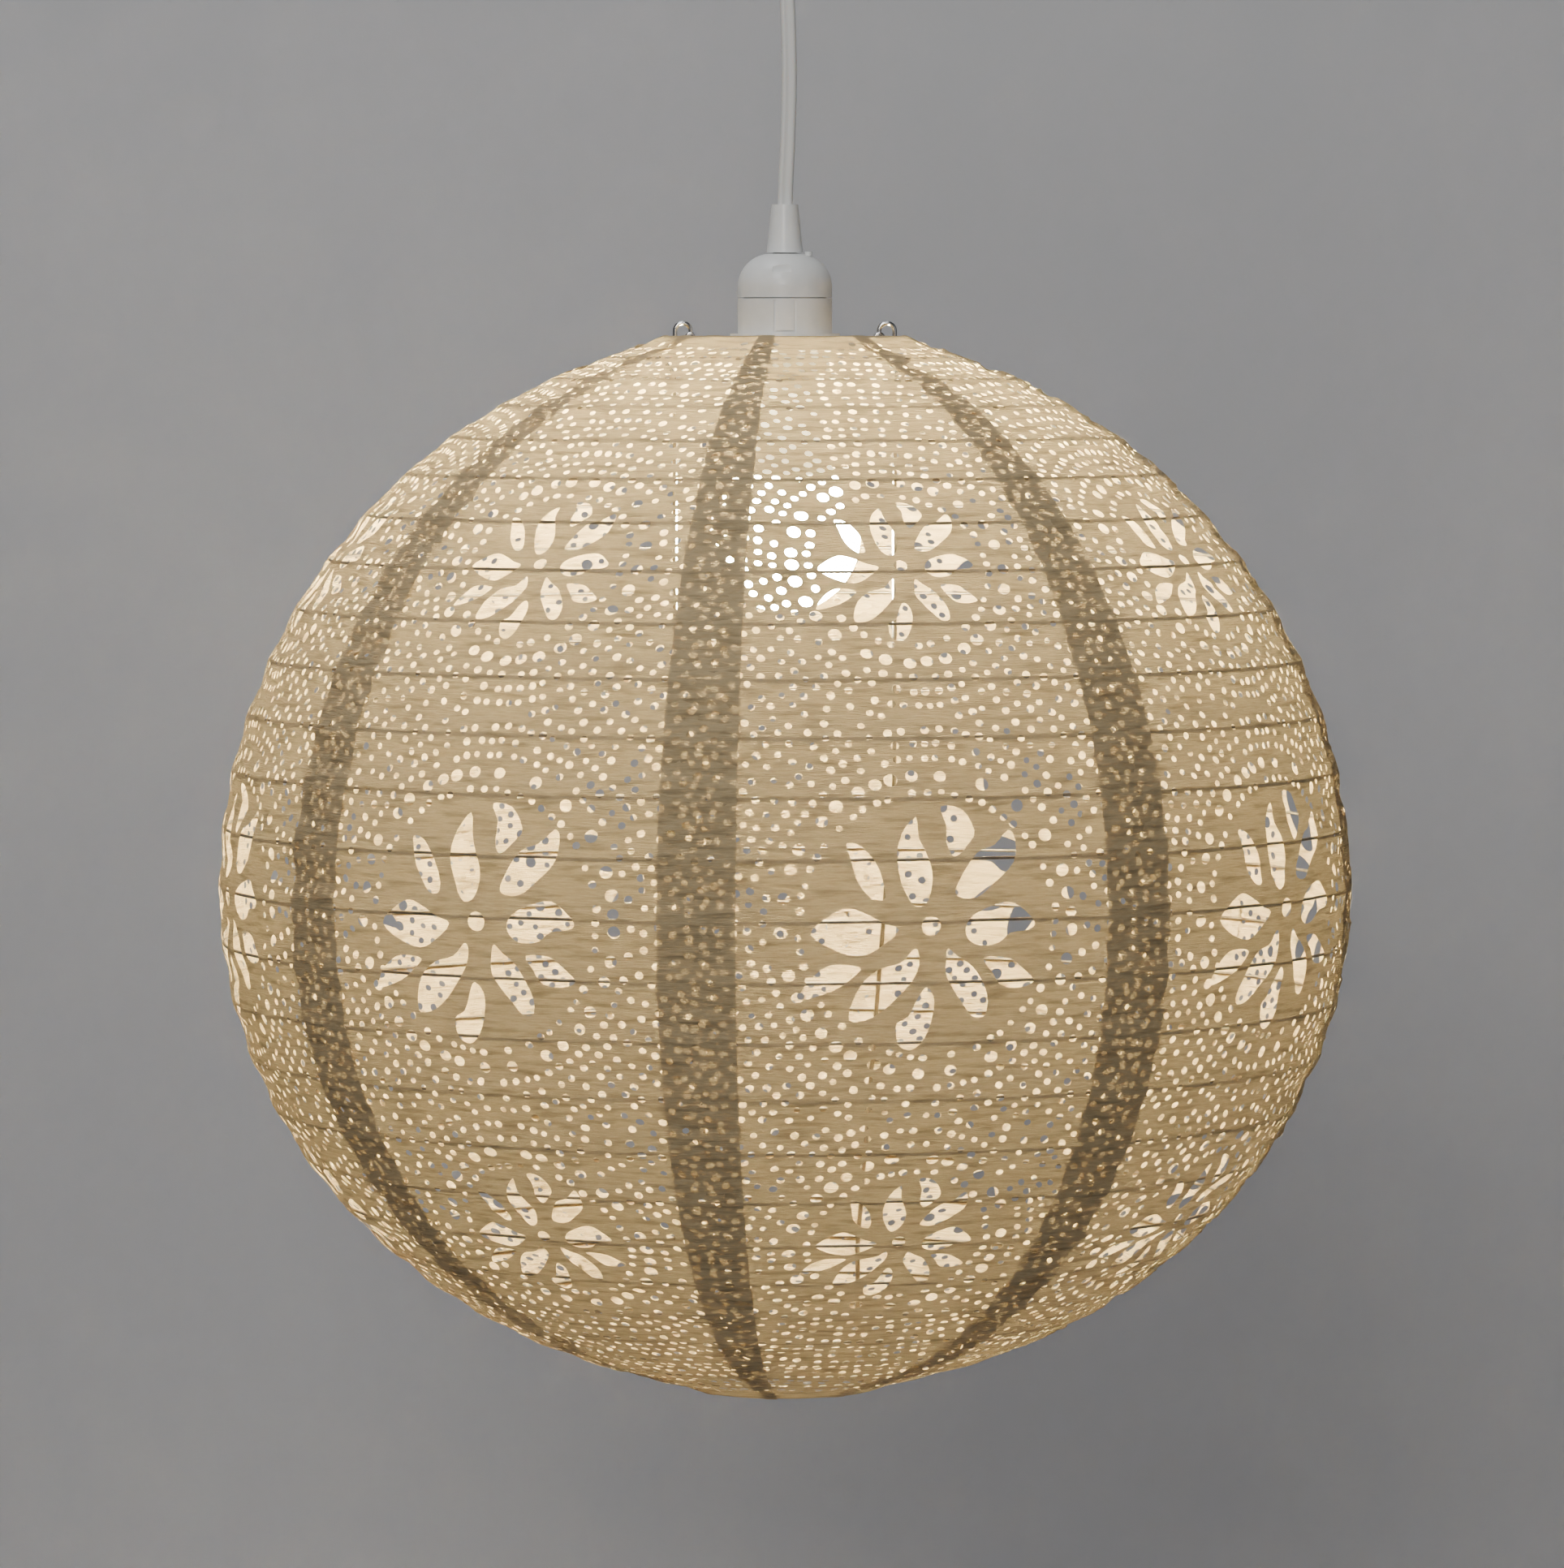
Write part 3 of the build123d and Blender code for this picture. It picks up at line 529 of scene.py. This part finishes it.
wrinkle_shade_and_relief.inputs["To Max"].default_value = 1.0
tree.links.new(streaks.outputs["Fac"], wrinkle_shade_and_relief.inputs["Value"])
shaded = tree.nodes.new("ShaderNodeVectorMath")
shaded.operation = "SCALE"
tree.links.new(tone.outputs["Color"], shaded.inputs[0])
tree.links.new(wrinkle_shade_and_relief.outputs["Result"], shaded.inputs["Scale"])
tree.links.new(shaded.outputs["Vector"], front.inputs["Base Color"])
crinkle = tree.nodes.new("ShaderNodeBump")
crinkle.inputs["Strength"].default_value = 0.9
crinkle.inputs["Distance"].default_value = 0.0012
relief = tree.nodes.new("ShaderNodeMath")
relief.operation = "MULTIPLY"
tree.links.new(fibres.outputs["Fac"], relief.inputs[0])
tree.links.new(wrinkle_shade_and_relief.outputs["Result"], relief.inputs[1])
tree.links.new(relief.outputs["Value"], crinkle.inputs["Height"])
tree.links.new(crinkle.outputs["Normal"], front.inputs["Normal"])
through = tree.nodes.new("ShaderNodeBsdfTranslucent")
tree.links.new(shaded.outputs["Vector"], through.inputs["Color"])
tree.links.new(crinkle.outputs["Normal"], through.inputs["Normal"])
blend = tree.nodes.new("ShaderNodeMixShader")
blend.inputs["Fac"].default_value = 0.085
tree.links.new(front.outputs["BSDF"], blend.inputs[1])
tree.links.new(through.outputs["BSDF"], blend.inputs[2])
tree.links.new(blend.outputs["Shader"], tree.nodes["Material Output"].inputs["Surface"])


def ruck_at(turn, y, number):
    """How the paper is rucked here: a slow wave and a fine one across the strip."""
    slow = noise.noise(Vector((turn * 9, y * 210, number * 3.7)))
    fine = noise.noise(Vector((turn * 22, y * 420, number + 9.1)))
    return slow + 0.5 * fine


# The paper is drawn in between the hoops and rucked, most of all in the bands where two strips lie
# double. Past the highest point a ruck is flattened. Each strip lies a hair over the last one.
gore_count, first_gore = 8, -76
band_from, band_blend = 0.68, 0.08
fade_length = 0.012
sag_mean, sag_spread = 0.0011, 0.0007
ruck_single, ruck_double = 0.0007, 0.0013
ruck_at_hoop, ruck_between = 0.3, 0.7
highest = 0.0005
outer_lift, inner_lift = 0.00028, -0.00002
strip_lift = 0.0001
flat_size = (2 * half_width(widest_at), paper_length + 2 * hem)
for number in range(gore_count):
    middle = math.radians(first_gore + 360 // gore_count * number)
    body = []
    for x, y in flat_points:
        r, z, nr, nz = on_outline(y)
        turn = middle + x / on_outline(min(max(y, 0), paper_length))[0]
        where = float(np.interp(y, lengths, hoops_passed))
        drawn_in = math.sin(math.pi * (where % 1.0)) ** 2
        across = x / half_width(y)
        double = min(1.0, max(0.0, (abs(across) - band_from) / band_blend))
        fade = min(1.0, max(0.0, min(y, paper_length - y) / fade_length))
        ruck = ruck_at(turn, y, number)
        sag = sag_mean + sag_spread * noise.noise(Vector((turn * 3, y * 41, 2.2)))
        rucked = ruck * (ruck_single + ruck_double * double) * (ruck_at_hoop + ruck_between * drawn_in)
        lift = min(rucked - drawn_in * sag, highest) * fade
        over = outer_lift if across > band_from else (inner_lift if across < -band_from else 0.0)
        lift += over + strip_lift * number / gore_count
        r, z = r + nr * lift, z + nz * lift
        body.append((r * math.cos(turn), r * math.sin(turn), z))
    mesh = bpy.data.meshes.new("paper_gore_%d" % (number + 1))
    mesh.from_pydata(body, [], paper_faces)
    mesh.update()
    uv = mesh.uv_layers.new(name="OFBake")
    for corner in mesh.loops:
        x, y = flat_points[corner.vertex_index]
        uv.data[corner.index].uv = (0.5 + x / flat_size[1], (y + hem) / flat_size[1])
    mesh.polygons.foreach_set("use_smooth", [True] * len(mesh.polygons))
    strip = bpy.data.objects.new("paper_gore_%d" % (number + 1), mesh)
    bpy.context.collection.objects.link(strip)
    strip.data.materials.append(paper)
    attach(strip, "shade")
    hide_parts("gore_%d" % (number + 1))

# ------------------------------------------------------------------ studio
# A plain pale floor sweeps up into a wall, which can be seen through from behind. A soft light stands
# to the front and above, with a wash on the wall, a small light on the holder and a fill.
profile = [(-8.0, -1.35), (0.6, -1.35), (0.95, -1.30), (1.15, -1.15), (1.22, -0.9), (1.22, 2.5)]
half_wide = 7.0
sweep_rows = []
for y, z in profile:
    sweep_rows += [(-half_wide, y, z), (half_wide, y, z)]
panels = [(2 * i, 2 * i + 1, 2 * i + 3, 2 * i + 2) for i in range(len(profile) - 1)]
sweep_mesh = bpy.data.meshes.new("studio")
sweep_mesh.from_pydata(sweep_rows, [], panels)
sweep_mesh.polygons.foreach_set("use_smooth", [True] * len(sweep_mesh.polygons))
studio = bpy.data.objects.new("studio", sweep_mesh)
bpy.context.collection.objects.link(studio)
pale = bpy.data.materials.new("pale paint")
pale.use_nodes = True
tree = pale.node_tree
paint = tree.nodes["Principled BSDF"]
paint.inputs["Base Color"].default_value = (0.46, 0.46, 0.47, 1)
paint.inputs["Roughness"].default_value = 0.9
see_behind = tree.nodes.new("ShaderNodeMixShader")
facing = tree.nodes.new("ShaderNodeNewGeometry")
clear_side = tree.nodes.new("ShaderNodeBsdfTransparent")
tree.links.new(facing.outputs["Backfacing"], see_behind.inputs["Fac"])
tree.links.new(paint.outputs["BSDF"], see_behind.inputs[1])
tree.links.new(clear_side.outputs["BSDF"], see_behind.inputs[2])
tree.links.new(see_behind.outputs["Shader"], tree.nodes["Material Output"].inputs["Surface"])
studio.data.materials.append(pale)


def soft_light(title, place, target, side, power, colour):
    """A square soft light at a place, turned to a target."""
    panel = bpy.data.lights.new(title, "AREA")
    panel.size = side
    panel.energy = power
    panel.color = colour
    light = bpy.data.objects.new(title, panel)
    bpy.context.collection.objects.link(light)
    light.location = place
    light.rotation_euler = (Vector(target) - Vector(place)).to_track_quat("-Z", "Y").to_euler()


soft_light("key", (-0.6, -4.0, 0.8), (0, 0, -0.5), 1.1, 50.0, (1.0, 0.99, 0.97))
soft_light("wash", (-0.3, 0.1, 1.5), (-0.1, 1.22, 0.1), 1.2, 19.0, (0.98, 0.99, 1.0))
soft_light("top", (-0.5, -1.3, 0.9), (0, 0, -0.2), 0.5, 8.0, (1.0, 1.0, 1.0))
soft_light("fill", (2.4, -2.6, 0.3), (0, 0, -0.5), 1.8, 5.0, (0.97, 0.98, 1.0))
world = bpy.context.scene.world or bpy.data.worlds.new("World")
bpy.context.scene.world = world
world.use_nodes = True
world.node_tree.nodes["Background"].inputs["Color"].default_value = (0.75, 0.77, 0.8, 1)
world.node_tree.nodes["Background"].inputs["Strength"].default_value = 0.07

lens = bpy.data.cameras.new("camera")
lens.sensor_width = 36.0
lens.lens = 189.5
lens.clip_end = 50.0
camera = bpy.data.objects.new("camera", lens)
bpy.context.collection.objects.link(camera)
camera_place = (-0.0012, -3.5, -0.2414)
looking_down = 3.11
tilt = Matrix.Rotation(math.radians(90 - looking_down), 4, "X")
camera.matrix_world = Matrix.Translation(camera_place) @ tilt
bpy.context.scene.camera = camera
